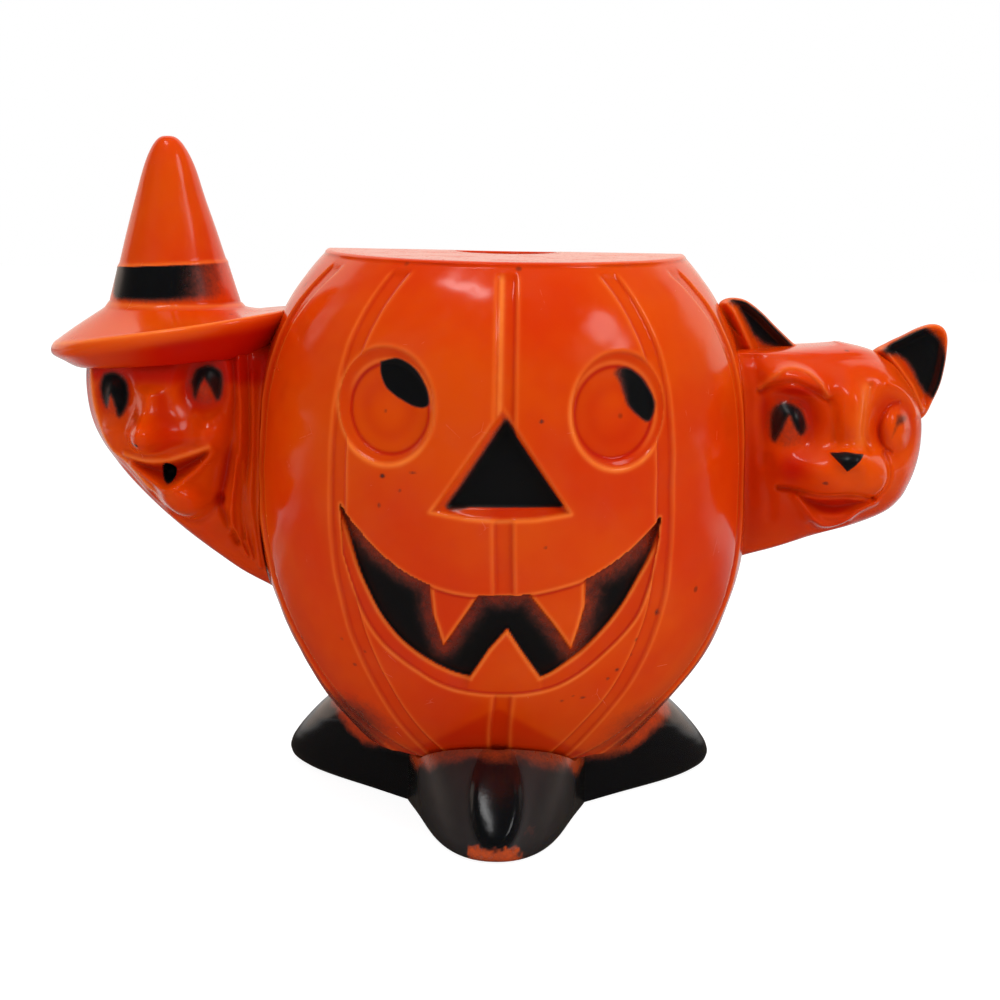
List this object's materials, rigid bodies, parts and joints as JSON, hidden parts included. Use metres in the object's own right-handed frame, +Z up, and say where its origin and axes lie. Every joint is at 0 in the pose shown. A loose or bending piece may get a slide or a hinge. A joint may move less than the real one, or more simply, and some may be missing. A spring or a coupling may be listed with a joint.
{
  "type": "halloween candy container",
  "caption": "Hollow glossy plastic pumpkin with a carved smiling face, a witch's head and a cat's head at its sides, on a toed base",
  "frame": {"origin": "centre of the flat hub under the base, on the plane it stands on", "axes": "+Z up, the carved face looks along -Y, the cat's head is at +X and the witch's at -X"},
  "size_m": [0.127, 0.0697, 0.093],
  "materials": {
    "pumpkin_front_shell": "glossy orange with black paint in the carved face",
    "pumpkin_back_shell": "glossy orange",
    "witch_head_front_shell": "glossy orange with black paint in the eyes",
    "witch_head_back_shell": "glossy orange",
    "witch_hat": "glossy orange with a black painted band",
    "cat_head_front_shell": "glossy orange with black paint on the eyes, nose and ears",
    "cat_head_back_shell": "glossy orange",
    "tripod_base": "black paint over orange plastic"
  },
  "bodies": {
    "root": {"pumpkin_front_shell": "pumpkin_front_shell", "pumpkin_back_shell": "pumpkin_back_shell", "witch_head_front_shell": "witch_head_front_shell", "witch_head_back_shell": "witch_head_back_shell", "witch_hat": "witch_hat", "cat_head_front_shell": "cat_head_front_shell", "cat_head_back_shell": "cat_head_back_shell", "tripod_base": "tripod_base"}
  },
  "joints": []
}
